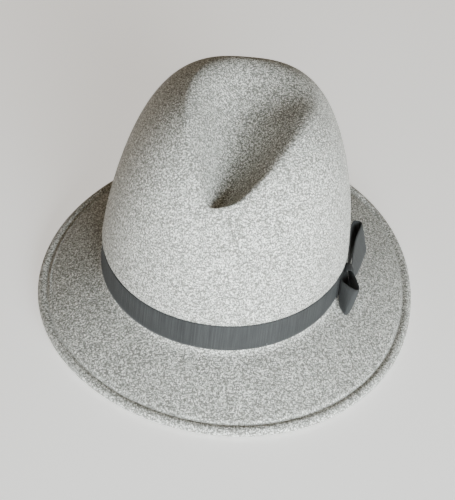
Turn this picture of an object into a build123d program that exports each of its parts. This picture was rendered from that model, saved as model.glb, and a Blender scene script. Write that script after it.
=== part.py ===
"""A felt fedora. One blocked felt body carries everything: its brim edge is turned under over a wire,
a ribbon band with a flat bow is tacked round the crown, and a reeded sweatband is sewn in at the break.

Millimetres, +Z up. The origin is on the surface that the brim edge rests on, under the middle of the
brim. The front of the hat faces -Y, and the bow is on the wearer's left, +X.
"""

import math
import os

from build123d import *

# Felt body
FELT = 2.2  # thickness of the pressed felt
CROWN_X, CROWN_Y = 85.0, 101.5  # half width and half length of the crown at the break, outside
CROWN_RISE = 137.0  # from the break to the top of the crown, before it is dented
BREAK_Z = 25.0  # height of the break, the line where crown meets brim
CROWN_TAPER = 0.16  # share by which the crown narrows towards its top
CROWN_LEAN = 7.0  # how far the soft top leans towards the bow
RISE_POWER, REACH_POWER = 4.0, 4.6  # squareness of the crown's profile
SHOULDER_AT, SHOULDER_RISE = 0.5, 0.8  # where the profile turns from side to top
BREAK_ROUND = 0.08, 0.014  # share of the brim and of the crown that the rounded break takes
BRIM_X, BRIM_Y = 48.5, 55.0  # reach of the brim at the sides, and at front and back
DENT_DEPTH = 29.0
DENT_Y = 10.0  # deepest place of the teardrop dent
DENT_HALF_WIDTH, DENT_FRONT, DENT_BACK = 44.0, 84.0, 60.0
DENT_NARROWING = 0.6  # share of its width that the dent loses towards its front point

# Turned brim edge, and the wire in it
HEM_THICK = 5.0
HEM_WIDE = 10.0
HEM_Z = 2.3  # height of the edge's middle: resting flattens a narrow band under it
HEM_SLIT = 0.4  # gap between the brim and the layer turned under it
WIRE_R = 0.7
WIRE_PLAY = 0.1
JOINER_R, JOINER_TURN = 1.2, 6.0  # the joiner's turn round the edge is in degrees

# Ribbon
RIBBON = 0.5  # thickness
BAND_WIDE = 19.5
BAND_Z = BREAK_Z + 3.6
BAND_GAP = 0.1
BAND_LAP = 20.0  # length over which its ends overlap, under the bow
BOW_TURN = math.radians(-14)  # place of the bow on the oval, forward of the side
LOOP_LONG, LOOP_DEEP, LOOP_TIP = 41.0, 9.0, 4.0
LOOP_BELLY = 0.6  # share of its length where a loop stands furthest out
LOOP_ROOT = 0.8  # each loop starts this far from the middle of the knot
LOOP_SAG = {"rear": -1.0, "front": 1.0}  # how far each loop's tip bends towards the crown
KNOT_WIDE, KNOT_DEEP = 9.0, 5.0

# Sweatband
SWEAT = 1.0
SWEAT_HIGH = 32.0
SWEAT_Z = BREAK_Z + 0.8
SWEAT_GAP = 0.3
SWEAT_SPLIT = 0.6  # gap between its two ends, at the back
REED_R = 1.0
TAPE_WIDE, TAPE_THICK = 14.0, 0.5
TAPE_FOOT, TAPE_TOP = 5.0, 2.0  # bare leather left below and above the tape
LABEL_WIDE, LABEL_HIGH, LABEL_THICK = 16.0, 14.0, 0.3
LABEL_TURN, LABEL_FOOT = math.radians(50), 9.0

# Threads
THREAD_R = 0.3
BRIM_STITCH, BRIM_PITCH, BRIM_SEAM = 6.0, 9.0, 4.2
SWEAT_STITCH, SWEAT_PITCH, SWEAT_SEAM = 7.0, 10.0, 3.0
TACK = 2.4
BAND_TACKS = 6
TACK_EDGE = 1.5  # from a tack to the ribbon's edge
CLEAR = 0.05  # sewn pieces that lie on each other are drawn this far apart

RING_POINTS = 24
SLOPE_STEP = 1e-3
OVALS = 4  # sections in each stretch of the crown's side
BREAK_LOW, BREAK_HIGH = 1 - BREAK_ROUND[0], 1 + BREAK_ROUND[1]
BREAK_CLIMBS = [BREAK_LOW, 0.943, 0.967, 0.99, BREAK_HIGH]
CROWN_CLIMBS = [BREAK_HIGH, 1.08, 1.2, 1.32, 1.42, 1.5, 1.58, 1.66, 1.75, 1.84, 1.93]

EDGE_X, EDGE_Y = CROWN_X + BRIM_X, CROWN_Y + BRIM_Y
BRIM_SLOPE = math.atan2(BREAK_Z - HEM_Z - HEM_THICK / 2, (BRIM_X + BRIM_Y - HEM_THICK) / 2)


def crown_profile(t):
    """(share of the base oval, share of the rise) at t, from 0 at the break to 1 in the middle of the top."""
    shoulder_reach = (1 - SHOULDER_RISE**RISE_POWER) ** (1 / REACH_POWER)
    if t < SHOULDER_AT:
        rise = SHOULDER_RISE * t / SHOULDER_AT
        reach = (1 - rise**RISE_POWER) ** (1 / REACH_POWER)
    else:
        reach = shoulder_reach * (1 - t) / (1 - SHOULDER_AT)
        rise = (1 - reach**REACH_POWER) ** (1 / RISE_POWER)
    return reach * (1 - CROWN_TAPER * rise), rise


def dent(x, y):
    """Depth of the teardrop dent at a place on the top, its point towards the front."""
    along = (y - DENT_Y) / (DENT_BACK if y > DENT_Y else DENT_FRONT)
    half_width = DENT_HALF_WIDTH * (1 - DENT_NARROWING * min(1.0, max(0.0, -along)))
    outwards = (x / half_width) ** 2 + along**2
    return DENT_DEPTH * max(0.0, 1 - outwards) ** 2


def sharp_skin(turn, climb):
    """The felt's outer face with a sharp break. climb is 0 at the edge, 1 at the break, 2 inside the dent."""
    c, s = math.cos(turn), math.sin(turn)
    if climb <= 1:
        out = 1 - climb
        drop = (BREAK_Z - HEM_Z - HEM_THICK / 2 * math.cos(BRIM_SLOPE)) * out
        reach_x, reach_y = BRIM_X - HEM_THICK / 2, BRIM_Y - HEM_THICK / 2
        return Vector((CROWN_X + reach_x * out) * c, (CROWN_Y + reach_y * out) * s, BREAK_Z - drop)
    reach, rise = crown_profile(climb - 1)
    x, y = CROWN_X * reach * c, CROWN_Y * reach * s
    return Vector(x + CROWN_LEAN * rise**2, y, BREAK_Z + CROWN_RISE * rise - dent(x, y))


def skin(turn, climb):
    """The felt's outer face, with the break rounded."""
    if not BREAK_LOW < climb < BREAK_HIGH:
        return sharp_skin(turn, climb)
    share = (climb - BREAK_LOW) / (BREAK_HIGH - BREAK_LOW)
    ends = sharp_skin(turn, BREAK_LOW) * (1 - share) ** 2 + sharp_skin(turn, BREAK_HIGH) * share**2
    return ends + sharp_skin(turn, 1.0) * (2 * share * (1 - share))


def inside_skin(turn, climb, depth):
    """The point that far inside the outer face, along its normal."""
    across = skin(turn + SLOPE_STEP, climb) - skin(turn - SLOPE_STEP, climb)
    up = skin(turn, climb + SLOPE_STEP) - skin(turn, climb - SLOPE_STEP)
    return skin(turn, climb) - across.cross(up).normalized() * depth


def ring(climb, depth):
    """A closed curve round the hat at one climb. Up to the crown it is level, so that flat ends can meet."""
    turns = [2 * math.pi * i / RING_POINTS for i in range(RING_POINTS)]
    points = [inside_skin(turn, climb, depth) for turn in turns]
    if climb <= BREAK_HIGH:
        points = [Vector(point.X, point.Y, points[0].Z) for point in points]
    with BuildLine() as line:
        Spline(*points, periodic=True)
    return line.wire()


def filled_skin(depth):
    """Everything under the outer face, or under the face that far inside it, down to the brim's edge."""
    middle = skin(0.0, 2.0) - Vector(0, 0, depth)
    brim = Solid.make_loft([ring(0.0, depth), ring(BREAK_LOW, depth)], ruled=True)
    around_break = Solid.make_loft([ring(climb, depth) for climb in BREAK_CLIMBS])
    crown = Solid.make_loft([*[ring(climb, depth) for climb in CROWN_CLIMBS], Vertex(*middle)])
    return brim + around_break + crown


def crown_oval(z):
    """(half width, half length, lean) of the crown's outer face at a height on its side."""
    rise = max(0.0, (z - BREAK_Z) / CROWN_RISE)
    reach = (1 - rise**RISE_POWER) ** (1 / REACH_POWER) * (1 - CROWN_TAPER * rise)
    return CROWN_X * reach, CROWN_Y * reach, CROWN_LEAN * rise**2


def oval_sections(z_low, z_high, grow):
    """Ovals up the crown's side, that far outside the felt's outer face."""
    sections = []
    for i in range(OVALS):
        z = z_low + (z_high - z_low) * i / (OVALS - 1)
        half_x, half_y, lean = crown_oval(z)
        with BuildSketch(Plane((lean, 0, z))) as section:
            Ellipse(half_x + grow, half_y + grow)
        sections.append(section.sketch)
    return sections


def edge_oval(inwards, z, start=0.0, turn=360.0):
    """The oval that runs that far in from the brim's outer edge, or a stretch of it in degrees."""
    with BuildLine(Plane.XY.offset(z)) as line:
        EllipticalCenterArc((0, 0), EDGE_X - inwards, EDGE_Y - inwards, start, arc_size=turn)
    return line.edge()


def hem_oval(along, height):
    """An oval in the hem: along is up the brim's slope from the wire, height is square to the slope."""
    inwards = HEM_THICK / 2 + along * math.cos(BRIM_SLOPE) - height * math.sin(BRIM_SLOPE)
    return edge_oval(inwards, HEM_Z + along * math.sin(BRIM_SLOPE) + height * math.cos(BRIM_SLOPE))


def crown_place(turn, z, grow):
    """A plane on the crown's side at a turn: x runs towards the front, y up, z outwards."""
    half_x, half_y, lean = crown_oval(z)
    origin = ((half_x + grow) * math.cos(turn) + lean, (half_y + grow) * math.sin(turn), z)
    tangent = Vector(half_x * math.sin(turn), -half_y * math.cos(turn), 0).normalized()
    return Plane(origin, x_dir=tangent, z_dir=Vector(0, 0, 1).cross(tangent))


def patch(turn, wide, z_low, high, face, thick):
    """A piece of sheet that lies on the crown's side: face is how far its inner face is outside the felt's."""
    outside = oval_sections(z_low, z_low + high, face + thick)
    inside = oval_sections(z_low, z_low + high, face)
    with BuildPart() as sheet:
        loft(sections=outside)
        with BuildSketch(crown_place(turn, z_low, face)):
            Rectangle(wide, 3 * high)
        extrude(amount=wide / 2, both=True, mode=Mode.INTERSECT)
        loft(sections=inside, mode=Mode.SUBTRACT)
    return sheet


def threads_along(path, length, pitch):
    """Threads that lie along a closed path, evenly spaced."""
    count = round(path.length / pitch)
    with BuildPart() as row:
        for i in range(count):
            with Locations(path.location_at(i / count)):
                Cylinder(THREAD_R, length)
    return row


def tacks(places):
    """Short threads that stand in the felt, one at each place on the crown's side."""
    with BuildPart() as row:
        for place in places:
            with Locations(place):
                Cylinder(THREAD_R, TACK)
    return row


# ---- Brim edge ----
hem_path = hem_oval(0, 0)
hem_start = Plane(hem_path @ 0, x_dir=(-math.cos(BRIM_SLOPE), 0, math.sin(BRIM_SLOPE)), z_dir=(0, 1, 0))
with BuildPart() as hem:
    with BuildSketch(hem_start):
        with Locations(((HEM_WIDE - HEM_THICK) / 2, 0)):
            SlotOverall(HEM_WIDE, HEM_THICK)
        Circle(WIRE_R + WIRE_PLAY, mode=Mode.SUBTRACT)
        with Locations((0, HEM_THICK / 2 - FELT - HEM_SLIT / 2)):
            Rectangle(HEM_WIDE, HEM_SLIT, align=(Align.MIN, Align.CENTER), mode=Mode.SUBTRACT)
    sweep(path=hem_path, is_frenet=True)
    split(bisect_by=Plane.XY, keep=Keep.TOP)

joiner_path = edge_oval(HEM_THICK / 2, HEM_Z, 90 - JOINER_TURN / 2, JOINER_TURN)
joiner_start = Plane(joiner_path @ 0, z_dir=joiner_path % 0)
with BuildPart() as joiner_pocket:
    with BuildSketch(joiner_start):
        Circle(JOINER_R + WIRE_PLAY)
    sweep(path=joiner_path, is_frenet=True)

with BuildPart() as brim_wire_joiner:
    with BuildSketch(joiner_start):
        Circle(JOINER_R)
        Circle(WIRE_R + CLEAR, mode=Mode.SUBTRACT)
    sweep(path=joiner_path, is_frenet=True)

with BuildPart() as brim_wire:
    with BuildSketch(hem_start):
        Circle(WIRE_R)
    sweep(path=hem_path, is_frenet=True)

# ---- Felt body ----
under_outer_face = filled_skin(0)
under_inner_face = filled_skin(FELT)
with BuildPart() as felt_body:
    add(under_outer_face)
    add(under_inner_face, mode=Mode.SUBTRACT)
    add(hem.part)
    add(joiner_pocket.part, mode=Mode.SUBTRACT)

# ---- Brim stitching, through the brim and the layer turned under it ----
brim_top_stitches = threads_along(hem_oval(BRIM_SEAM, HEM_THICK / 2), BRIM_STITCH, BRIM_PITCH)
brim_under_stitches = threads_along(hem_oval(BRIM_SEAM, -HEM_THICK / 2), BRIM_STITCH, BRIM_PITCH)

# ---- Ribbon band ----
band_face = BAND_GAP + RIBBON
band_outside = oval_sections(BAND_Z, BAND_Z + BAND_WIDE, band_face)
band_inside = oval_sections(BAND_Z, BAND_Z + BAND_WIDE, BAND_GAP)
band_lap = patch(BOW_TURN, BAND_LAP, BAND_Z, BAND_WIDE, BAND_GAP, 2 * RIBBON)
with BuildPart() as hatband:
    loft(sections=band_outside)
    loft(sections=band_inside, mode=Mode.SUBTRACT)
    add(band_lap.part)

tack_low, tack_high = BAND_Z + TACK_EDGE, BAND_Z + BAND_WIDE - TACK_EDGE
tack_turns = [2 * math.pi * i / BAND_TACKS for i in range(BAND_TACKS)]
hatband_tacks = tacks([crown_place(turn, tack_high, 0) for turn in tack_turns])

# ---- Bow ----
knot_place = crown_place(BOW_TURN, BAND_Z + BAND_WIDE / 2, band_face + RIBBON + CLEAR)
loop_foot = crown_place(BOW_TURN, BAND_Z, band_face + RIBBON + CLEAR)


def bow_loop(side, sag):
    """One loop of ribbon, open above and below, from the knot to a rounded tip. side is 1 for the front."""
    end = LOOP_LONG - LOOP_TIP / 2
    with BuildPart() as loop:
        with BuildSketch(Plane(loop_foot.origin, x_dir=loop_foot.x_dir, z_dir=(0, 0, 1))) as profile:
            with BuildLine():
                ThreePointArc((side * LOOP_ROOT, 0), (side * end / 2, -sag / 4), (side * end, -sag))
                ThreePointArc(
                    (side * end, -sag), (side * LOOP_LONG, LOOP_TIP / 2 - sag), (side * end, LOOP_TIP - sag)
                )
                ThreePointArc(
                    (side * end, LOOP_TIP - sag), (side * end * LOOP_BELLY, LOOP_DEEP), (side * LOOP_ROOT, 0)
                )
            make_face()
            offset(amount=-RIBBON, mode=Mode.SUBTRACT)
        extrude(amount=BAND_WIDE)
    return loop


bow_front_loop = bow_loop(1, LOOP_SAG["front"])
bow_rear_loop = bow_loop(-1, LOOP_SAG["rear"])

with BuildPart() as bow_knot:
    with BuildSketch(knot_place):
        Rectangle(KNOT_WIDE, BAND_WIDE + 2 * (RIBBON + CLEAR))
    extrude(amount=KNOT_DEEP)
    with BuildSketch(knot_place):
        Rectangle(KNOT_WIDE, BAND_WIDE + 2 * CLEAR)
    extrude(amount=KNOT_DEEP - RIBBON, mode=Mode.SUBTRACT)

bow_tacks = tacks([crown_place(BOW_TURN, z, BAND_GAP) for z in (tack_low, tack_high)])

# ---- Sweatband ----
sweat_face = -(FELT + SWEAT_GAP + SWEAT)  # its inner face, outside the felt's outer face
sweat_outside = oval_sections(SWEAT_Z, SWEAT_Z + SWEAT_HIGH, sweat_face + SWEAT)
sweat_inside = oval_sections(SWEAT_Z, SWEAT_Z + SWEAT_HIGH, sweat_face)
with BuildPart() as sweatband:
    loft(sections=sweat_outside)
    loft(sections=sweat_inside, mode=Mode.SUBTRACT)
    with BuildSketch(crown_place(math.pi / 2, SWEAT_Z, 0)):
        Rectangle(SWEAT_SPLIT, 3 * SWEAT_HIGH)
    extrude(amount=CROWN_X / 2, both=True, mode=Mode.SUBTRACT)

reed_inside = sweat_face + SWEAT / 2
reed_x, reed_y = (half + reed_inside for half in crown_oval(SWEAT_Z)[:2])
with BuildPart() as sweatband_reed:
    with BuildLine(Plane.XY.offset(SWEAT_Z - REED_R - CLEAR)):
        reed_path = EllipticalCenterArc((0, 0), reed_x, reed_y, arc_size=360)
    with BuildSketch(Plane(reed_path @ 0, z_dir=reed_path % 0)):
        Circle(REED_R)
    sweep(path=reed_path, is_frenet=True)

seam_x, seam_y, seam_lean = crown_oval(SWEAT_Z + SWEAT_SEAM)
with BuildLine(Plane((seam_lean, 0, SWEAT_Z + SWEAT_SEAM))) as sweat_seam:
    EllipticalCenterArc((0, 0), seam_x + sweat_face, seam_y + sweat_face, arc_size=360)
sweatband_stitches = threads_along(sweat_seam.edge(), SWEAT_STITCH, SWEAT_PITCH)

tape_face = sweat_face - CLEAR - TAPE_THICK
tape_high = SWEAT_HIGH - TAPE_FOOT - TAPE_TOP
sweatband_joint_tape = patch(math.pi / 2, TAPE_WIDE, SWEAT_Z + TAPE_FOOT, tape_high, tape_face, TAPE_THICK)

label_face = sweat_face - CLEAR - LABEL_THICK
size_label = patch(LABEL_TURN, LABEL_WIDE, SWEAT_Z + LABEL_FOOT, LABEL_HIGH, label_face, LABEL_THICK)

# ---- Files ----
os.makedirs("parts", exist_ok=True)
pieces = {
    "felt_body": felt_body,
    "brim_wire": brim_wire,
    "brim_wire_joiner": brim_wire_joiner,
    "brim_top_stitches": brim_top_stitches,
    "brim_under_stitches": brim_under_stitches,
    "hatband": hatband,
    "hatband_tacks": hatband_tacks,
    "bow_front_loop": bow_front_loop,
    "bow_rear_loop": bow_rear_loop,
    "bow_knot": bow_knot,
    "bow_tacks": bow_tacks,
    "sweatband": sweatband,
    "sweatband_reed": sweatband_reed,
    "sweatband_stitches": sweatband_stitches,
    "sweatband_joint_tape": sweatband_joint_tape,
    "size_label": size_label,
}
for name, piece in pieces.items():
    piece.part.label = name
    export_step(piece.part, f"parts/{name}.step")
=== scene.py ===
"""The looks of a felt fedora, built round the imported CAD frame. Metres, +Z up, front towards -Y.

Each soft CAD solid is replaced by a detailed mesh: one closed felt skin with its turned and stitched edge,
a ribbed ribbon band, a folded ribbon bow, a leather sweatband and every stitch.
"""

import math

import bpy
import numpy as np
from mathutils import Matrix, Vector


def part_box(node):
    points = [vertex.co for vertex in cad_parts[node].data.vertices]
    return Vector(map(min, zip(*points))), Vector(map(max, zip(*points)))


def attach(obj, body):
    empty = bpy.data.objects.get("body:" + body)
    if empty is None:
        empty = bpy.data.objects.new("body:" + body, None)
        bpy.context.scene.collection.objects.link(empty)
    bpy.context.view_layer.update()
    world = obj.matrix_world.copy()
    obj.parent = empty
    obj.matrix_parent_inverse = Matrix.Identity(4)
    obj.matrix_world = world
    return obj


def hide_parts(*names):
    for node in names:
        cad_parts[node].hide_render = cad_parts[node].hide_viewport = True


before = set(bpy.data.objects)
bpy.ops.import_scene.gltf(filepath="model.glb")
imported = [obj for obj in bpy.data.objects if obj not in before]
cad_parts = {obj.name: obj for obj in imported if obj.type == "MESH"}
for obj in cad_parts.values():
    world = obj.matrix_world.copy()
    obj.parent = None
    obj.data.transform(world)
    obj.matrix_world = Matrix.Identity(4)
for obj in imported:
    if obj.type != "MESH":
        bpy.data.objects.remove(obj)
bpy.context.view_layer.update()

MM = 0.001
TAU = 2 * math.pi

# ---- Sizes read from the frame ----
felt_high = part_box("felt_body")[1]
band_low, band_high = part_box("hatband")
sweat_low, sweat_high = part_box("sweatband")

RIBBON = 0.5 * MM  # thickness of the ribbon
FELT = 2.2 * MM  # thickness of the felt
BAND_STAND = 0.6 * MM  # the CAD band's outer face stands this far off the felt
BAND_GAP = 3.0 * MM  # from the break up to the CAD band's lower edge
CROWN_X = band_high.x - BAND_STAND  # half width and half length of the crown at the break
CROWN_Y = band_high.y - BAND_STAND
BREAK_Z = band_low.z - BAND_GAP  # where the crown meets the brim

# ---- Crown ----
CROWN_RISE = 137.9 * MM  # before denting
RISE_POWER, REACH_POWER = 2.64, 3.12  # squareness of the profile
TAPER_X, TAPER_Y = 0.095, 0.104  # share by which it narrows to the top
LEAN = 7.5 * MM  # sideways, towards the bow, at the top
LEAN_CURVE = 3.45 * MM  # and this much more towards the top
LEAN_BACK = 9.9 * MM  # backwards, at the top
SQUARE = 0.083  # share by which the top's plan bulges at its diagonals
TIP = 0.034  # how far the top falls towards the bow, per unit of width
BULGE = 2.4 * MM  # how far the felt rolls out over the band's top edge
BULGE_RISE = 5.0 * MM  # height over which it does so
BULGE_EARLY = 1.5 * MM  # how far under the band's top edge it starts
BAND_FOOT, BAND_WIDE = 2.2 * MM, 18.6 * MM  # the band's lower edge above the break, and its width
SHOULDER = 0.78  # share of the rise where mesh rows change from even in height to even in reach
CROWN_BASE = 0.035  # share of the rise where the rounded corner to the brim starts
TOP_ROWS, WALL_ROWS, CORNER_ROWS, BRIM_ROWS = 74, 70, 9, 34
COLUMNS = 276

# ---- Dent: a teardrop, sharp at the front ----
# Each row, in mm: y, x of the valley, reach of the left wall, reach of the right wall, depth
DENT_ROWS = [
    (-90, -7, 10, 11, 0), (-84, -7, 10, 11, 0), (-79.5, -7, 11, 12, 0), (-76, -7, 12, 15, 1.5),
    (-72, -6, 13, 20, 11), (-66, -5, 15, 26, 21.0), (-57, -3, 20, 33, 30.0), (-44, -0.5, 25, 39, 36.0),
    (-30, 2, 29, 43, 37), (-12, 4, 31, 46, 33), (6, 6.5, 32, 47, 26), (20, 8.5, 31, 44, 17.5),
    (33, 10, 28, 38, 9), (44, 10, 24, 32, 3.0), (54, 10, 20, 28, 0), (70, 10, 20, 28, 0),
]  # fmt: skip
DENT_ROUND = 0.010  # how round the valley's floor is
DENT_WALL, DENT_SWELL = 1.6, 0.75  # steepness of its walls, and their swell near the rim

# ---- Brim ----
BRIM_X = felt_high.x - CROWN_X + 1.3 * MM  # its mean width at the sides, and at front and back
BRIM_Y = felt_high.y - CROWN_Y - 0.9 * MM
BULB = 2.95 * MM  # radius of the rolled edge
BRIM_ROUND = 0.12  # how much the brim arches between break and edge
BRIM_START = 0.085  # share of its width that the rounded corner takes
BACK_LIFT = 14.8 * MM  # it is snapped up at the back
# Unevenness of its outline, by cosines and sines of 1, 2 and 3 turns
EDGE_COS = 6.14 * MM, -1.59 * MM, -2.63 * MM
EDGE_SIN = 1.77 * MM, 2.55 * MM, -0.24 * MM
EDGE_CLEAR = 0.4 * MM  # least height of the edge over the floor
ROLL_RISE = 2.2 * MM  # from the roll's middle up to the brim's upper face


def smooth(x):
    """0 below 0, 1 above 1, and smooth between."""
    x = np.clip(x, 0.0, 1.0)
    return x * x * (3 - 2 * x)


def waves(turn, parts):
    """A sum of sines round the hat: (count, height, phase) each."""
    return sum(height * np.sin(count * turn + phase) for count, height, phase in parts)


# ---- The felt's outer face ----
def crown_oval(rise):
    """(half width, half length, side lean, back lean) at a share of the crown's rise."""
    side = np.clip(1 - rise**RISE_POWER, 0, 1) ** (1 / REACH_POWER)
    above_band = BULGE * smooth((rise * CROWN_RISE - BAND_FOOT - BAND_WIDE + BULGE_EARLY) / BULGE_RISE) * side
    return (
        CROWN_X * side * (1 - TAPER_X * rise) + above_band,
        CROWN_Y * side * (1 - TAPER_Y * rise) + above_band,
        LEAN * rise + LEAN_CURVE * rise**2,
        LEAN_BACK * rise**2,
    )


def through(points, count):
    """A smooth run through given points, evenly sampled between each pair."""
    points = [np.array(p, float) for p in points]
    ends = [2 * points[0] - points[1]] + points + [2 * points[-1] - points[-2]]
    run = []
    for i in range(1, len(ends) - 2):
        a, b, c, d = ends[i - 1 : i + 3]
        square, cube = 2 * a - 5 * b + 4 * c - d, 3 * b - a - 3 * c + d
        for s in np.arange(count) / count:
            run.append(0.5 * (2 * b + (c - a) * s + square * s**2 + cube * s**3))
    run.append(points[-1])
    return np.array(run)


dent_run = through(DENT_ROWS, 10) * MM


def dent(x, y):
    """Depth of the dent at a place on the top."""
    middle, left, right, deep = (np.interp(y, dent_run[:, 0], dent_run[:, k]) for k in (1, 2, 3, 4))
    half = np.where(x < middle, left, right)
    across = np.sqrt(((x - middle) / half) ** 2 + DENT_ROUND) - math.sqrt(DENT_ROUND)
    across = np.clip(across, 0.0, 1.0)
    return np.maximum(deep, 0) * (1 - across) ** DENT_WALL * (1 + DENT_SWELL * across)


def crown_point(turn, reach, rise, oval):
    """The crown's outer face at a turn, a share of the oval's reach and a share of the rise."""
    half_x, half_y, lean, lean_back = oval
    diagonal = 1 + SQUARE * smooth(rise) * np.sin(2 * turn) ** 2
    x, y = half_x * diagonal * reach * np.cos(turn), half_y * diagonal * reach * np.sin(turn)
    z = BREAK_Z + CROWN_RISE * rise - dent(x + lean, y + lean_back) - TIP * x * rise**4
    soft = waves(turn, [(2, 0.5, 0.6), (3, 0.35, 2.0), (5, 0.2, 4.0)]) * MM * smooth(rise / 0.4)
    x, y = x + soft * np.cos(turn), y + soft * np.sin(turn)
    return np.stack([x + lean, y + lean_back, z], -1)


def edge_lift(turn):
    """How far the brim's edge stands above the floor: it is snapped up at the back."""
    back = ((1 + np.sin(turn)) / 2) ** 2
    ripple = waves(turn, [(5, 0.2, 0.3), (7, 0.12, 1.0)]) * MM
    return BACK_LIFT * back + ripple + EDGE_CLEAR


def edge_reach(turn):
    """Unevenness of the brim's outline."""
    parts = zip(EDGE_COS, EDGE_SIN)
    return sum(c * np.cos(n * turn) + s * np.sin(n * turn) for n, (c, s) in enumerate(parts, 1))


def brim_point(turn, out):
    """The brim's upper face. out runs from 0 at the break to 1 above the rolled edge's middle."""
    bulb_z = BULB + edge_lift(turn)
    edge_top = bulb_z + ROLL_RISE
    drop = (BREAK_Z - edge_top) * (out + BRIM_ROUND * out * (out - 1))
    reach_x = (BRIM_X - BULB + edge_reach(turn)) * out
    reach_y = (BRIM_Y - BULB + edge_reach(turn)) * out
    x, y = (CROWN_X + reach_x) * np.cos(turn), (CROWN_Y + reach_y) * np.sin(turn)
    soft = waves(turn, [(4, 0.3, 0.5), (7, 0.18, 2.2)]) * MM * np.sin(math.pi * np.clip(out, 0, 1))
    return np.stack([x, y, BREAK_Z - drop + soft], -1)


turns = np.arange(COLUMNS) * TAU / COLUMNS


def crown_rows():
    """Rows from the pole in the dent down to the base of the crown."""
    rows = []
    shoulder_reach = (1 - SHOULDER**RISE_POWER) ** (1 / REACH_POWER)
    for reach in np.linspace(0, shoulder_reach, TOP_ROWS)[1:]:
        rise = (1 - reach**REACH_POWER) ** (1 / RISE_POWER)
        rows.append(crown_point(turns, 1.0, rise, crown_oval(np.float64(rise))))
    for rise in np.linspace(SHOULDER, CROWN_BASE, WALL_ROWS)[1:]:
        rows.append(crown_point(turns, 1.0, rise, crown_oval(np.float64(rise))))
    return rows


def break_rows(above, below):
    """A rounded corner between the crown's last row and the brim's first."""
    corner = brim_point(turns, 0.0)
    shares = np.linspace(0, 1, CORNER_ROWS)[1:-1]
    return [above * (1 - s) ** 2 + corner * (2 * s * (1 - s)) + below * s**2 for s in shares]


# The turned edge in section, in mm: up the brim's slope from the roll's middle, and square to the slope
HEM_SECTION = [
    (8.4, 2.2), (6.8, 2.1), (5.6, 1.65), (4.8, 1.0), (4.2, 0.95), (3.4, 1.75), (2.0, 2.75), (0.2, 3.1),
    (-1.6, 2.55), (-2.7, 1.2), (-2.9, -0.3), (-2.3, -1.7), (-1.1, -2.6), (0.6, -2.8), (2.4, -2.4), (3.9, -1.8),
    (5.2, -2.0), (7.0, -2.35), (8.8, -2.3), (9.8, -1.7), (9.9, -0.8), (9.2, -0.25), (7.5, -0.2), (4.5, -0.25),
    (2.6, -0.1), (2.6, 0.1), (4.5, 0.1), (7.5, 0.05), (9.6, 0.0), (11.0, 0.0),
]  # fmt: skip


def hem_frame():
    """(middle of the roll, up-slope, square to it) for each column."""
    step = 0.02
    top, inner = brim_point(turns, 1.0), brim_point(turns, 1.0 - step)
    up_slope = inner - top
    up_slope /= np.linalg.norm(up_slope, axis=1, keepdims=True)
    round_edge = np.roll(top, -1, 0) - np.roll(top, 1, 0)
    square = np.cross(round_edge, -up_slope)
    square /= np.linalg.norm(square, axis=1, keepdims=True)
    square *= np.sign(square[:, 2:3])
    return top - square * ROLL_RISE, up_slope, square


hem_middle, hem_up, hem_square = hem_frame()


def hem_point(along, height):
    """A ring of the turned edge, in mm along the slope and square to it from the roll's middle."""
    return hem_middle + (hem_up * along + hem_square * height) * MM


def build_mesh(name, points, faces, uv=None, body="root"):
    """A smooth-shaded mesh object that rides on a CAD body, unless body is None."""
    mesh = bpy.data.meshes.new(name)
    mesh.from_pydata([tuple(p) for p in points], [], faces)
    if uv is not None:
        layer = mesh.uv_layers.new(name="UVMap")
        loops = np.zeros(len(mesh.loops), dtype=np.int32)
        mesh.loops.foreach_get("vertex_index", loops)
        layer.data.foreach_set("uv", np.asarray(uv, float)[loops].ravel())
    mesh.polygons.foreach_set("use_smooth", [True] * len(mesh.polygons))
    mesh.validate()
    obj = bpy.data.objects.new(name, mesh)
    bpy.context.scene.collection.objects.link(obj)
    if body:
        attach(obj, body)
    return obj


def rings_to_faces(rows, columns, first=0, closed_rows=False):
    """Quads between rings of vertices, each ring closed on itself."""
    faces = []
    for r in range(rows if closed_rows else rows - 1):
        a, b = first + r * columns, first + ((r + 1) % rows) * columns
        for c in range(columns):
            d = (c + 1) % columns
            faces.append((a + c, b + c, b + d, a + d))
    return faces


def normals_of(rows):
    """Outward normals of a stack of rings that runs from the top down."""
    grid = np.array(rows)
    down = np.gradient(grid, axis=0)
    across = np.roll(grid, -1, 1) - np.roll(grid, 1, 1)
    normal = np.cross(down, across)
    return normal / np.maximum(np.linalg.norm(normal, axis=2, keepdims=True), 1e-12)


def make_felt():
    """The whole felt as one closed skin: outside, round the turned edge, and back up the inside."""
    crown = crown_rows()
    brim_last = (hem_point(*HEM_SECTION[0]) - brim_point(turns, 1.0))[:, :2]
    stop = 1 - np.median(np.linalg.norm(brim_last, axis=1)) / (BRIM_X - BULB)
    brim = [brim_point(turns, out) for out in np.linspace(BRIM_START, stop, BRIM_ROWS)]
    outer = crown + break_rows(crown[-1], brim[0]) + brim
    section = through(HEM_SECTION, 3)
    hem = [hem_point(along, height) for along, height in section[1:]]
    normal = normals_of(outer)
    inner_rows = range(len(outer) - 4, -1, -2)
    inner = [outer[i] - normal[i] * FELT for i in inner_rows]
    rows = outer + hem + inner
    pole = crown_point(np.array([0.0]), 0.0, 1.0, crown_oval(np.float64(0.999999)))[0]
    pole_in = pole - np.array([0, 0, FELT])
    points = np.concatenate([np.concatenate(rows), [pole, pole_in]])
    faces = rings_to_faces(len(rows), COLUMNS)
    top, under = len(points) - 2, len(points) - 1
    last = (len(rows) - 1) * COLUMNS
    for c in range(COLUMNS):
        d = (c + 1) % COLUMNS
        faces.append((top, c, d))
        faces.append((under, last + d, last + c))
    felt = build_mesh("felt_hat", points, faces)
    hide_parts("felt_body")
    return felt


felt = make_felt()


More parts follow.
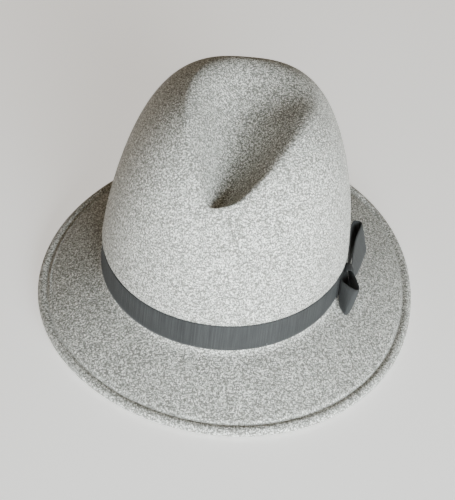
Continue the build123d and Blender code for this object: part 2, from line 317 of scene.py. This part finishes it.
# ---- Strips: ribbon, leather and tape ----
def run_length(line):
    """Distance gone along a line at each of its points."""
    return np.concatenate([[0], np.cumsum(np.linalg.norm(np.diff(line, axis=0), axis=1))])


def curve_through(points, step):
    """Points spaced by about step along a smooth run through the given ones, any number of values each."""
    run = through(points, 24)
    gone = run_length(run[:, :3])
    at = np.linspace(0, gone[-1], max(4, int(round(gone[-1] / step)) + 1))
    return np.stack([np.interp(at, gone, run[:, k]) for k in range(run.shape[1])], 1), at


def strip(name, low, high, out, gone, thick, rib=0.0, pitch=0.9 * MM, tooth=0.0, columns=8, cup=0.0):
    """A closed thin strip between two edges. low and high are its edges, out the way its face looks, and
    gone the distance along it. rib is the height of its ribs, tooth that of its edges' scallops."""
    shares = np.linspace(0, 1, columns + 1)
    wide = np.linalg.norm(high - low, axis=1, keepdims=True)
    across = (high - low) / wide
    beat = 0.5 + 0.5 * np.cos(TAU * gone / pitch)[:, None]
    lines = []
    for share in shares:
        edge = 1 - abs(2 * share - 1)
        lift = thick + rib * beat * min(1.0, edge * columns / 2) + cup * edge
        slide = tooth * beat * (np.sign(share - 0.5) if edge == 0 else 0)
        round_off = 0.35 * thick if edge == 0 else 0
        lines.append(low + across * (share * wide + slide) + out * (lift - round_off))
    for share in shares[::-1]:
        edge = 1 - abs(2 * share - 1)
        slide = tooth * beat * (np.sign(share - 0.5) if edge == 0 else 0)
        lines.append(low + across * (share * wide + slide) + out * (0.12 * thick if edge == 0 else 0))
    count, ring = len(gone), len(lines)
    points = np.stack(lines, 1).reshape(-1, 3)
    values = list(shares) + list(shares[::-1])
    uv = np.stack([np.repeat(gone, ring), (np.array(values)[None, :] * wide).ravel()], 1)
    faces = rings_to_faces(count, ring)
    faces.append(tuple(range(ring))[::-1])
    faces.append(tuple((count - 1) * ring + i for i in range(ring)))
    return build_mesh(name, points, faces, uv)


def outward(turn):
    """Level outward direction of the crown at a turn."""
    way = np.stack([np.cos(turn) / CROWN_X, np.sin(turn) / CROWN_Y, np.zeros_like(turn)], -1)
    return way / np.linalg.norm(way, axis=-1, keepdims=True)


def wall(turn, height):
    """The crown's outer face at a height above the break."""
    rise = height / CROWN_RISE
    return crown_point(turn, 1.0, rise, crown_oval(rise))


# Arc length round the band, for placing things by distance
fine_turns = np.linspace(0, TAU, 7201)
fine_gone = run_length(wall(fine_turns, np.full_like(fine_turns, BAND_FOOT + BAND_WIDE / 2)))
BAND_ROUND = fine_gone[-1]


def turn_at(distance):
    """The turn at a distance round the band from the +X side, either way."""
    whole = np.floor(distance / BAND_ROUND)
    return np.interp(distance - whole * BAND_ROUND, fine_gone, fine_turns) + whole * TAU


RIB = 0.95 * MM  # pitch of the ribbon's ribs
PER_RIB = 4  # mesh steps to a rib
RIBBON_CUTS = 10  # mesh steps across the ribbon
LAP_FRONT, LAP_BACK = -44.0 * MM, -25.0 * MM  # the band's outer end, and the end beneath it
LAP_SLOPE, LAP_EASE, EASE_RUN = 9 * MM, 0.25 * MM, 20 * MM  # run onto the lap, and how its end stands off
BAND_OFF = 0.12 * MM  # air between the band and the felt


def make_band():
    """The ribbon band, once round the crown and lapped over its own end."""
    lap = LAP_BACK - LAP_FRONT
    samples = int((BAND_ROUND + lap) / RIB * PER_RIB)
    gone = np.linspace(0, BAND_ROUND + lap, samples)
    turn = turn_at(gone + LAP_FRONT)
    wave = waves(turn, [(2, 0.25, 1.1), (3, 0.2, 0.4), (7, 0.08, 2.0)]) * MM
    over = (RIBBON + 0.15 * MM) * (1 - smooth((gone - lap) / LAP_SLOPE))
    over = over + LAP_EASE * (1 - smooth(gone / EASE_RUN))
    way = outward(turn)
    stand = (BAND_OFF + over)[:, None]
    low = wall(turn, BAND_FOOT + wave) + way * stand
    high = wall(turn, BAND_FOOT + BAND_WIDE + wave) + way * stand
    band = strip("hat_ribbon", low, high, way, gone, RIBBON, 0.11 * MM, RIB, 0.16 * MM, RIBBON_CUTS)
    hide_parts("hatband")
    return band


# ---- Bow ----
def bow_place(rows):
    """Points from rows of out from the crown's widest, back from its middle, and height above the break."""
    return rows + np.array([CROWN_X, 0, BREAK_Z])


# Each row: out, back and height of the lower edge, then of the upper edge, in mm
REAR_LOOP = [
    (4.6, -29.5, 5.8, 3, -29.5, 16.2), (6.3, -23.5, 4.8, 3.5, -23.5, 17.2), (9.2, -16, 3.8, 4.4, -16, 18),
    (11.8, -8, 3, 5.6, -9, 18.9), (14.2, 0, 2.4, 7.7, 1.5, 19.8), (16.5, 8, 1.8, 10.6, 11, 20.5),
    (18.2, 13.5, 1.4, 13.2, 18.5, 20.8), (17.8, 16.6, 1.4, 13.6, 21.8, 20.8), (15.6, 17.6, 1.4, 11, 24, 20.8),
    (12.4, 15.6, 1.6, 8, 22.8, 20.8), (8.6, 8, 2, 5.4, 13, 20.8), (5.9, -2, 2.6, 4.1, 2, 20.4),
    (4, -14, 3.6, 2.8, -12, 18.6), (3.3, -22, 4.8, 2, -22, 17.4), (3.2, -29.5, 5.6, 1.9, -29.5, 16.2),
]  # fmt: skip
FRONT_LOOP = [
    (3.2, -26.5, 5.8, 1.2, -26.5, 16.2), (2.6, -33, 3.8, 3, -33, 17.8), (3.2, -39.5, 1.8, 4.5, -41, 19.2),
    (4.2, -45.3, 0.8, 5.4, -48, 19.8), (2.8, -51, 0.5, 6, -53, 20), (0.6, -56.2, 0.4, 5.2, -56.1, 20),
    (-1.2, -58.2, 0.4, 3.2, -55.8, 20), (-2.8, -56.5, 0.4, 1, -53.8, 20), (-4.2, -52, 0.5, -1.8, -50.4, 19.8),
    (-5, -46.7, 0.8, -4.2, -46, 19.4), (-3.9, -40, 2.2, -4.5, -39, 18.6),
    (1.2, -33.2, 4.4, -1.6, -32.6, 17.4), (2.5, -26.5, 5.6, 0.3, -26.5, 16.2),
]  # fmt: skip


def make_loop(name, node, rows):
    """A loop of ribbon through rows of lower and upper edge points."""
    table = np.array(rows) * MM
    run, gone = curve_through(np.hstack([(table[:, :3] + table[:, 3:]) / 2, table]), RIB / PER_RIB)
    low, high = bow_place(run[:, 3:6]), bow_place(run[:, 6:9])
    along = np.gradient((low + high) / 2, axis=0)
    out = np.cross(along, high - low)
    out /= np.linalg.norm(out, axis=1, keepdims=True)
    middle = (low + high).mean(0) / 2
    if np.sum(out * ((low + high) / 2 - middle)) < 0:
        out = -out
    loop = strip(name, low, high, out, gone, RIBBON, 0.09 * MM, RIB, 0.14 * MM, RIBBON_CUTS, cup=0.25 * MM)
    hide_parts(node)
    return loop


# Out and height of the ribbon round the bow's waist, in mm
KNOT_PATH = [
    (0.2, 7.6), (0.5, 5.6), (1.9, 4.4), (3.6, 4.1), (5.2, 4.9), (5.9, 7.2), (5.6, 10.0),
    (5.0, 13.0), (4.3, 15.8), (3.0, 17.6), (0.8, 18.2), (-0.9, 17.2), (-1.0, 14.6),
]  # fmt: skip
KNOT_AT, KNOT_HALF = -28 * MM, 5.1 * MM  # its place along the band, and half its width
KNOT_GATHER = 0.25  # share by which it narrows at its face


def make_knot():
    """The short ribbon round the roots of both loops, gathered a little at its face."""
    path = np.array([(out, 0, height) for out, height in KNOT_PATH]) * MM
    run, gone = curve_through(path, RIB / PER_RIB)
    gather = 1 - KNOT_GATHER * np.sin(math.pi * gone / gone[-1])[:, None]
    side = np.array([0, KNOT_HALF, 0]) * gather
    middle = bow_place(run + np.array([0, KNOT_AT, 0]))
    front, back = middle - side, middle + side
    along = np.gradient(middle, axis=0)
    out = np.cross(back - front, along)
    out /= np.linalg.norm(out, axis=1, keepdims=True)
    ribbed = {"rib": 0.08 * MM, "pitch": RIB, "tooth": 0.1 * MM, "columns": RIBBON_CUTS, "cup": 0.5 * MM}
    knot = strip("bow_waist", front, back, out, gone, RIBBON, **ribbed)
    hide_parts("bow_knot")
    return knot


band = make_band()
rear_loop = make_loop("bow_loop_rear", "bow_rear_loop", REAR_LOOP)
front_loop = make_loop("bow_loop_front", "bow_front_loop", FRONT_LOOP)
knot = make_knot()


# ---- Sweatband, its tape and its label ----
BACK = math.pi / 2  # the turn at the back of the hat
LEATHER = 1.0 * MM
SWEAT_TALL = sweat_high.z - sweat_low.z
SWEAT_FOOT = 0.4 * MM  # its lower edge above the break
SWEAT_OFF = 0.5 * MM  # air between it and the felt
SWEAT_LEAN = 0.9 * MM  # how far its top stands off further
SPLIT = 0.35 * MM  # half the gap between its ends, at the back


def sweat_wall(turn, height, inset=0.0):
    """The sweatband's outer face. It stands straighter than the felt."""
    lean = height / SWEAT_TALL
    inward = FELT + SWEAT_OFF + inset + SWEAT_LEAN * lean
    half_x, half_y = CROWN_X - inward, CROWN_Y - inward
    z = np.broadcast_to(BREAK_Z + SWEAT_FOOT + height, np.shape(turn))
    shift = LEAN * height / CROWN_RISE
    return np.stack([half_x * np.cos(turn) + shift, half_y * np.sin(turn), z], -1)


def make_sweatband():
    """The leather band inside the head opening, its two ends meeting at the back."""
    gap = SPLIT / CROWN_X
    count = 720
    turn = BACK + gap + np.linspace(0, TAU - 2 * gap, count)
    low, high = sweat_wall(turn, np.zeros(count)), sweat_wall(turn, np.full(count, SWEAT_TALL))
    soft = waves(turn, [(5, 0.25, 0.2), (8, 0.2, 1.7), (13, 0.08, 0.9)]) * MM
    high[:, 2] += soft
    high -= outward(turn) * (abs(soft) * 0.8)[:, None]
    gone = run_length(low)
    piece = strip("sweat_leather", low, high, -outward(turn), gone, LEATHER, columns=12)
    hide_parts("sweatband")
    return piece


TAPE_TALL, TAPE_HALF, TAPE_FOOT = 26 * MM, 7 * MM, 4 * MM  # height, half width, and place above the lower edge
TAPE = 0.4 * MM  # its thickness


def make_tape():
    """The tape sewn over the joint in the sweatband."""
    gone = np.linspace(0, TAPE_TALL, 60)
    turn = np.full(len(gone), BACK)
    base = sweat_wall(turn, TAPE_FOOT + gone, LEATHER + 0.12 * MM)
    side = np.array([TAPE_HALF, 0, 0])
    out = -outward(turn)
    piece = strip("joint_tape", base - side, base + side, out, gone, TAPE, 0.05 * MM, 1 * MM, 0.05 * MM, 8)
    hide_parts("sweatband_joint_tape")
    return piece


LABEL_WIDE, LABEL_TALL, LABEL_FOOT = 16 * MM, 14 * MM, 9 * MM
LABEL_AT = 58 * MM  # distance from the back, round the sweatband
LABEL_REACH = 0.93 * CROWN_Y  # the sweatband's radius of curvature there


def make_label():
    """The blank size label."""
    count = 48
    turn = BACK - LABEL_AT / CROWN_Y + np.linspace(-0.5, 0.5, count) * LABEL_WIDE / LABEL_REACH
    low = sweat_wall(turn, np.full(count, LABEL_FOOT), LEATHER + 0.1 * MM)
    high = sweat_wall(turn, np.full(count, LABEL_FOOT + LABEL_TALL), LEATHER + 0.1 * MM)
    gone = np.linspace(0, LABEL_WIDE, count)
    piece = strip("label_blank", low, high, -outward(turn), gone, 0.3 * MM, 0.03 * MM, 0.6 * MM, 0, 12)
    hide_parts("size_label")
    return piece


sweat = make_sweatband()
tape = make_tape()
label = make_label()


# ---- Stitches ----
def threads(name, starts, ends, out, radius, node, slot, arch=0.25):
    """Short lengths of thread, each arching over the surface with its ends going in, as one mesh."""
    steps, sides = 7, 7
    points, faces = [], []
    for a, b, n in zip(starts, ends, out):
        length = np.linalg.norm(b - a)
        along = (b - a) / length
        side = np.cross(n, along)
        first = len(points)
        for k in range(steps):
            s = k / (steps - 1)
            swell = radius * (0.55 + 0.45 * math.sin(math.pi * (0.12 + 0.76 * s)))
            lift = radius * (math.sin(math.pi * s) * (1 + arch) - 0.75)
            middle = a + along * length * s + n * lift
            for j in range(sides):
                turn = TAU * j / sides
                points.append(middle + swell * (math.cos(turn) * side + math.sin(turn) * n))
        for k in range(steps - 1):
            for j in range(sides):
                p, q = first + k * sides + j, first + k * sides + (j + 1) % sides
                faces.append((p, q, q + sides, p + sides))
        faces.append(tuple(first + j for j in range(sides))[::-1])
        faces.append(tuple(first + (steps - 1) * sides + j for j in range(sides)))
    piece = build_mesh(name, points, faces)
    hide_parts(node)
    return piece


def around(line, normals, pitch, share):
    """Stitch ends spaced by pitch round a closed line."""
    closed = np.concatenate([line, line[:1]])
    gone = run_length(closed)
    count = int(gone[-1] / pitch)
    closed_normals = np.concatenate([normals, normals[:1]])

    def at(distance, table):
        return np.stack([np.interp(distance, gone, table[:, k]) for k in range(3)], 1)

    begin = np.arange(count) * gone[-1] / count
    starts, ends = at(begin, closed), at(begin + share * gone[-1] / count, closed)
    out = at(begin + share / 2 * gone[-1] / count, closed_normals)
    return starts, ends, out / np.linalg.norm(out, axis=1, keepdims=True)


# ---- Wire in the brim's edge, and the reed under the sweatband ----
def tube(name, line, radius, node, closed=True, sides=12):
    """A round bar along a line."""
    ahead = np.roll(line, -1, 0) - np.roll(line, 1, 0) if closed else np.gradient(line, axis=0)
    ahead /= np.linalg.norm(ahead, axis=1, keepdims=True)
    side = np.cross(ahead, [0, 0, 1])
    side /= np.linalg.norm(side, axis=1, keepdims=True)
    up = np.cross(side, ahead)
    angle = np.arange(sides) * TAU / sides
    ring = side[:, None] * np.cos(angle)[:, None] + up[:, None] * np.sin(angle)[:, None]
    points = (line[:, None] + ring * np.broadcast_to(radius, len(line))[:, None, None]).reshape(-1, 3)
    faces = rings_to_faces(len(line), sides, closed_rows=closed)
    if not closed:
        faces.append(tuple(range(sides))[::-1])
        faces.append(tuple((len(line) - 1) * sides + i for i in range(sides)))
    piece = build_mesh(name, points, faces)
    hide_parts(node)
    return piece


WIRE, REED, SLEEVE, PINCH = 0.7 * MM, 0.95 * MM, 1.2 * MM, 0.35 * MM  # radii, and the depth of a crimp
REED_DROP = 0.85 * MM  # middle of the reed below the leather's lower edge

wire_line = hem_point(0.0, 0.1)
wire = tube("edge_wire", wire_line, WIRE, "brim_wire")
at_back = slice(COLUMNS // 4 - 5, COLUMNS // 4 + 6)
crimp = SLEEVE - PINCH * np.array([1, 0, 0, 0, 1, 0, 1, 0, 0, 0, 1])
joiner = tube("wire_sleeve", wire_line[at_back], crimp, "brim_wire_joiner", closed=False)
reed_turns = np.linspace(0, TAU, 360, endpoint=False)
reed_line = sweat_wall(reed_turns, np.full(len(reed_turns), -REED_DROP), LEATHER / 2)
reed = tube("sweat_reed", reed_line, REED, "sweatband_reed")

# ---- Sewing round the brim's edge and the sweatband ----
BRIM_PITCH, BRIM_SHARE, BRIM_THREAD = 3.4 * MM, 0.78, 0.33 * MM  # spacing, share that shows, radius
SWEAT_PITCH, SWEAT_SHARE, SWEAT_THREAD = 3.2 * MM, 0.74, 0.3 * MM
SEAM_UP = 2.6 * MM  # the sweatband's seam above its lower edge
TACK = 0.22 * MM  # radius of the tacking thread

top_seam = around(hem_point(4.5, 1.0), hem_square, BRIM_PITCH, BRIM_SHARE)
top_threads = threads("brim_thread_top", *top_seam, BRIM_THREAD, "brim_top_stitches", "felt_thread")
under_seam = around(hem_point(4.0, -1.75), -hem_square, BRIM_PITCH, BRIM_SHARE)
under_threads = threads("brim_thread_under", *under_seam, BRIM_THREAD, "brim_under_stitches", "felt_thread")

sweat_turns = np.linspace(0, TAU, 600, endpoint=False)
sweat_line = sweat_wall(sweat_turns, np.full(len(sweat_turns), SEAM_UP), LEATHER)
sweat_seam = around(sweat_line, -outward(sweat_turns), SWEAT_PITCH, SWEAT_SHARE)
sweat_threads = threads("sweat_thread", *sweat_seam, SWEAT_THREAD, "sweatband_stitches", "sweatband_thread")


def tack_row(name, places, node):
    """Small upright tacks on the band: distance round, height, length and stand off the felt for each."""
    starts, ends, out = [], [], []
    for distance, height, rise, stand in places:
        turn = turn_at(np.array([distance]))
        way = outward(turn)[0]
        base = wall(turn, np.array([height]))[0] + way * stand
        starts.append(base)
        ends.append(base + np.array([0, 0, rise]))
        out.append(way)
    return threads(name, starts, ends, out, TACK, node, "ribbon_thread")


TACK_LONG = 2.2 * MM
lap_tacks = [
    (LAP_FRONT + 9.5 * MM, BAND_FOOT + up, TACK_LONG, 1.35 * MM) for up in (2 * MM, BAND_WIDE - 4.2 * MM)
]
foot_tacks = [(BAND_ROUND * k / 5, BAND_FOOT + 0.7 * MM, 1.6 * MM, 0.85 * MM) for k in range(1, 5)]
band_tacks = tack_row("ribbon_tacks", lap_tacks + foot_tacks, "hatband_tacks")

bow_feet = bow_place(np.array([(7.0, 4.0, 5.0), (-4.6, -45.0, 5.5)]) * MM)  # on each loop's inner leg
bow_tops = bow_feet + np.array([0, 0, TACK_LONG])
bow_ways = outward(np.array([0.0, -0.5]))
bow_tacks = threads("bow_threads", bow_feet, bow_tops, bow_ways, TACK, "bow_tacks", "ribbon_thread")


# ---- Materials ----
class Nodes:
    """A short way to write a node material: each call adds a node and gives back its socket."""

    def __init__(self, name):
        self.material = bpy.data.materials.new(name)
        self.material.use_nodes = True
        self.tree = self.material.node_tree
        self.shader = self.tree.nodes["Principled BSDF"]

    def add(self, kind, inputs=(), **settings):
        node = self.tree.nodes.new(kind)
        for key, value in settings.items():
            setattr(node, key, value)
        for key, value in dict(inputs).items():
            socket = node.inputs[key]
            if isinstance(value, bpy.types.NodeSocket):
                self.tree.links.new(value, socket)
            else:
                socket.default_value = value
        return node

    def place(self, scale, turn=(0, 0, 0), uv=False):
        source = self.add("ShaderNodeTexCoord").outputs["UV" if uv else "Object"]
        return self.add("ShaderNodeMapping", {"Vector": source, "Scale": scale, "Rotation": turn}).outputs[0]

    def noise(self, where, scale, detail=3.0, rough=0.55):
        inputs = {"Vector": where, "Scale": scale, "Detail": detail, "Roughness": rough}
        return self.add("ShaderNodeTexNoise", inputs).outputs["Fac"]

    def range(self, value, low, high, to_low=0.0, to_high=1.0):
        inputs = {"Value": value, "From Min": low, "From Max": high, "To Min": to_low, "To Max": to_high}
        return self.add("ShaderNodeMapRange", inputs).outputs[0]

    def math(self, how, a, b):
        return self.add("ShaderNodeMath", {0: a, 1: b}, operation=how).outputs[0]

    def mix(self, share, a, b):
        node = self.add("ShaderNodeMix", data_type="RGBA")
        for key, value in (("Factor_Float", share), ("A_Color", a), ("B_Color", b)):
            socket = next(s for s in node.inputs if s.identifier == key)
            if isinstance(value, bpy.types.NodeSocket):
                self.tree.links.new(value, socket)
            else:
                socket.default_value = (*value, 1.0) if key != "Factor_Float" else value
        return next(s for s in node.outputs if s.identifier == "Result_Color")

    def bump(self, height, distance, strength=1.0, before=None):
        inputs = {"Height": height, "Distance": distance, "Strength": strength}
        if before is not None:
            inputs["Normal"] = before
        return self.add("ShaderNodeBump", inputs).outputs[0]

    def finish(self, color, rough, normal=None, **fixed):
        link = self.tree.links.new
        for key, value in (("Base Color", color), ("Roughness", rough)):
            if isinstance(value, bpy.types.NodeSocket):
                link(value, self.shader.inputs[key])
            else:
                self.shader.inputs[key].default_value = (*value, 1.0) if key == "Base Color" else value
        if normal is not None:
            link(normal, self.shader.inputs["Normal"])
        for key, value in fixed.items():
            self.shader.inputs[key.replace("_", " ")].default_value = value
        return self.material


def felt_material():
    """Grey wool felt: pale and dark fibres about a millimetre long, lying all ways, on a mottled ground."""
    n = Nodes("heather_felt")
    ways = [
        ((1, 2.3, 2.3), (0.3, 0.5, 0.2)),
        ((2.3, 1, 2.3), (0.1, 0.7, 0.9)),
        ((2.3, 2.3, 1), (0.8, 0.2, 0.4)),
    ]
    places = [n.place(scale, turn) for scale, turn in ways]
    even = n.place((1, 1, 1))
    dark = [n.range(n.noise(p, 440 + 60 * i, 2.0, 0.5), 0.51, 0.60) for i, p in enumerate(places)]
    pale = [n.range(n.noise(p, 500 - 50 * i, 2.0, 0.5), 0.51, 0.60) for i, p in enumerate(places[::-1])]
    darks = n.math("MAXIMUM", n.math("MAXIMUM", dark[0], dark[1]), dark[2])
    pales = n.math("MAXIMUM", n.math("MAXIMUM", pale[0], pale[1]), pale[2])
    patch = n.range(n.noise(even, 45, 4.0), 0.3, 0.7)
    broad = n.range(n.noise(even, 11, 3.0), 0.3, 0.7)
    ground = n.mix(patch, (0.44, 0.43, 0.39), (0.54, 0.53, 0.49))
    ground = n.mix(n.math("MULTIPLY", broad, 0.25), ground, (0.40, 0.38, 0.345))
    colour = n.mix(n.math("MULTIPLY", pales, 0.95), ground, (0.97, 0.955, 0.91))
    colour = n.mix(n.math("MULTIPLY", darks, 0.9), colour, (0.12, 0.115, 0.10))
    fuzz = n.math("SUBTRACT", pales, n.math("MULTIPLY", darks, 0.6))
    nap = n.bump(fuzz, 0.00018, 0.5)
    felted = n.bump(n.noise(even, 260, 5.0, 0.65), 0.0005, 0.55, nap)
    return n.finish(
        colour, n.range(patch, 0, 1, 0.88, 0.97), felted,
        Sheen_Weight=0.22, Sheen_Roughness=0.5, Sheen_Tint=(0.95, 0.93, 0.88, 1), Specular_IOR_Level=0.18,
    )  # fmt: skip


def ribbon_material():
    """Slate grosgrain: ribs across, each with its own shade, and fine threads along."""
    n = Nodes("slate_grosgrain")
    cloth = n.place((1, 1, 1), uv=True)
    wave = {"Vector": cloth, "Scale": 1 / (RIB * TAU), "Distortion": 0.3, "Detail": 1.0}
    ribs = n.add("ShaderNodeTexWave", wave)
    per_rib = n.noise(n.place((1 / RIB, 30, 1), uv=True), 1.0, 2.0)
    yarn = n.noise(n.place((900, 5200, 1), uv=True), 1.0, 2.0)
    wear = n.range(n.noise(n.place((1, 1, 1)), 60, 4.0), 0.35, 0.75)
    colour = n.mix(n.range(per_rib, 0.3, 0.7), (0.0245, 0.0248, 0.0252), (0.047, 0.0476, 0.048))
    colour = n.mix(n.math("MULTIPLY", wear, 0.3), colour, (0.060, 0.061, 0.060))
    colour = n.mix(n.math("MULTIPLY", n.range(yarn, 0.45, 0.75), 0.35), colour, (0.016, 0.017, 0.018))
    normal = n.bump(yarn, 0.00006, 0.5, n.bump(ribs.outputs["Fac"], 0.00012, 0.35))
    return n.finish(
        colour, n.range(yarn, 0.2, 0.8, 0.66, 0.84), normal,
        Sheen_Weight=0.08, Sheen_Roughness=0.4, Specular_IOR_Level=0.25,
    )  # fmt: skip


def leather_material():
    """Brown leather with fine pores and creases."""
    n = Nodes("sweatband_leather")
    place = n.place((1, 1, 1))
    pores = n.add("ShaderNodeTexVoronoi", {"Vector": place, "Scale": 900.0}).outputs["Distance"]
    crease = n.noise(place, 160, 5.0, 0.6)
    tone = n.range(n.noise(place, 24, 4.0), 0.3, 0.7)
    colour = n.mix(tone, (0.115, 0.062, 0.032), (0.20, 0.115, 0.062))
    colour = n.mix(n.range(crease, 0.6, 0.8, 0, 0.5), colour, (0.07, 0.038, 0.02))
    normal = n.bump(pores, 0.00012, 0.45, n.bump(crease, 0.0003, 0.4))
    return n.finish(colour, n.range(crease, 0.3, 0.7, 0.38, 0.6), normal, Coat_Weight=0.08, Coat_Roughness=0.35)


def thread_material(name, dark, pale):
    """Twisted thread."""
    n = Nodes(name)
    twist = n.noise(n.place((1, 1, 1.6), (0.4, 0.7, 0.1)), 2600, 2.0)
    tone = n.noise(n.place((1, 1, 1)), 130, 2.0)
    colour = n.mix(n.range(n.math("ADD", twist, tone), 0.7, 1.3), dark, pale)
    return n.finish(colour, 0.7, n.bump(twist, 0.0001, 0.6), Sheen_Weight=0.2)


def tape_material(name, dark, pale, pitch, rough):
    """Woven tape: a fine plain weave."""
    n = Nodes(name)
    wave = {"Vector": n.place((1, 1, 1), uv=True), "Scale": 1 / (pitch * TAU)}
    warp = n.add("ShaderNodeTexWave", wave)
    weft = n.add("ShaderNodeTexWave", wave, bands_direction="Y")
    weave = n.math("MULTIPLY", warp.outputs["Fac"], weft.outputs["Fac"])
    stain = n.noise(n.place((1, 1, 1)), 90, 3.0)
    colour = n.mix(n.range(n.math("ADD", weave, stain), 0.4, 1.4), dark, pale)
    return n.finish(colour, rough, n.bump(weave, 0.0001, 0.5), Specular_IOR_Level=0.4)


def metal_material():
    """Drawn steel wire, lightly brushed along."""
    n = Nodes("drawn_wire")
    drawn = n.noise(n.place((1, 1, 6)), 900, 3.0)
    colour = n.mix(drawn, (0.42, 0.42, 0.43), (0.60, 0.60, 0.60))
    return n.finish(colour, n.range(drawn, 0.3, 0.7, 0.28, 0.5), n.bump(drawn, 0.00005, 0.3), Metallic=1.0)


def plastic_material(name, dark, pale):
    """Dull moulded plastic with a fine grain."""
    n = Nodes(name)
    grain = n.noise(n.place((1, 1, 1)), 700, 3.0)
    tone = n.noise(n.place((1, 1, 1)), 40, 2.0)
    colour = n.mix(n.range(tone, 0.3, 0.7), dark, pale)
    return n.finish(colour, n.range(grain, 0.3, 0.7, 0.4, 0.55), n.bump(grain, 0.00005, 0.3))


def paint(objects, material):
    for obj in objects:
        obj.data.materials.clear()
        obj.data.materials.append(material)


paint([felt], felt_material())
paint([band, rear_loop, front_loop, knot], ribbon_material())
paint([sweat], leather_material())
paint([top_threads, under_threads], thread_material("felt_thread", (0.34, 0.33, 0.31), (0.56, 0.55, 0.52)))
paint([sweat_threads], thread_material("tan_thread", (0.30, 0.20, 0.11), (0.46, 0.33, 0.20)))
paint([band_tacks, bow_tacks], thread_material("slate_thread", (0.06, 0.065, 0.07), (0.14, 0.15, 0.15)))
paint([tape], tape_material("satin_tape", (0.10, 0.10, 0.105), (0.22, 0.22, 0.225), 0.5 * MM, 0.42))
paint([label], tape_material("label_cloth", (0.55, 0.53, 0.48), (0.76, 0.74, 0.69), 0.4 * MM, 0.6))
paint([wire, joiner], metal_material())
paint([reed], plastic_material("reed_plastic", (0.52, 0.49, 0.43), (0.66, 0.63, 0.56)))


# ---- Floor, light and camera ----
FLOOR_HALF, FLOOR_STEPS = 14.0, 8  # half its side, and its mesh steps
FLOOR_Z = -0.4 * MM


def make_floor():
    side = np.linspace(-FLOOR_HALF, FLOOR_HALF, FLOOR_STEPS + 1)
    points = [(x, y, FLOOR_Z) for y in side for x in side]
    wide = len(side)
    corners = [r * wide + c for r in range(FLOOR_STEPS) for c in range(FLOOR_STEPS)]
    faces = [(a, a + 1, a + wide + 1, a + wide) for a in corners]
    floor = build_mesh("studio_floor", points, faces, body=None)
    n = Nodes("pale_floor")
    tone = n.noise(n.place((1, 1, 1)), 6, 2.0)
    pale = n.mix(tone, (0.88, 0.88, 0.88), (0.90, 0.90, 0.90))
    paint([floor], n.finish(pale, 0.85, Emission_Color=(1.0, 0.97, 0.93, 1), Emission_Strength=0.75))


make_floor()

# The camera: what it looks at, from where, and its lens
TARGET = Vector((3.52 * MM, 0, BREAK_Z + 8.5 * MM))
ELEVATION, AZIMUTH, ROLL = math.radians(36.02), math.radians(-2.24), math.radians(3.34)
DISTANCE = 0.9738
LENS, SENSOR = 99.94, 36.0

# The key: a large soft lamp low in front, a little to the right
KEY_PLACE, KEY_SIZE, KEY_POWER, KEY_COLOUR = (0.50, -1.75, 0.12), 1.3, 165, (0.88, 0.97, 1.0)

# The world's colour near the horizon and overhead, and the heights that it runs between
HORIZON, OVERHEAD = (0.47, 0.435, 0.375, 1), (0.155, 0.124, 0.080, 1)
HORIZON_UP, OVERHEAD_UP = 0.06, 0.55


def look(location, target, roll=0.0):
    """Turns for something at location that faces target."""
    turn = (target - location).to_track_quat("-Z", "Y").to_matrix()
    return (turn @ Matrix.Rotation(roll, 3, "Z")).to_euler()


def area_light(name, location, size, power, colour):
    data = bpy.data.lights.new(name, "AREA")
    data.shape = "DISK"
    data.size = size
    data.energy = power
    data.color = colour
    lamp = bpy.data.objects.new(name, data)
    lamp.location = location
    lamp.rotation_euler = look(Vector(location), TARGET)
    bpy.context.scene.collection.objects.link(lamp)


def make_camera():
    data = bpy.data.cameras.new("camera")
    data.lens = LENS
    data.sensor_width = SENSOR
    data.clip_start = 0.05
    level = math.cos(ELEVATION)
    back = Vector((math.sin(AZIMUTH) * level, -math.cos(AZIMUTH) * level, math.sin(ELEVATION)))
    camera = bpy.data.objects.new("camera", data)
    camera.location = TARGET + back * DISTANCE
    camera.rotation_euler = look(camera.location, TARGET, ROLL)
    bpy.context.scene.collection.objects.link(camera)
    bpy.context.scene.camera = camera


def make_world():
    """Soft light all round: pale by the horizon, warmer and dimmer overhead."""
    world = bpy.data.worlds.new("studio")
    world.use_nodes = True
    tree = world.node_tree
    where = tree.nodes.new("ShaderNodeTexCoord")
    parts = tree.nodes.new("ShaderNodeSeparateXYZ")
    ramp = tree.nodes.new("ShaderNodeValToRGB")
    tree.links.new(where.outputs["Generated"], parts.inputs[0])
    tree.links.new(parts.outputs["Z"], ramp.inputs["Fac"])
    stops = ((HORIZON_UP, HORIZON), (OVERHEAD_UP, OVERHEAD))
    for element, (position, colour) in zip(ramp.color_ramp.elements, stops):
        element.position, element.color = position, colour
    tree.links.new(ramp.outputs["Color"], tree.nodes["Background"].inputs["Color"])
    bpy.context.scene.world = world


make_camera()
area_light("key", KEY_PLACE, KEY_SIZE, KEY_POWER, KEY_COLOUR)
make_world()
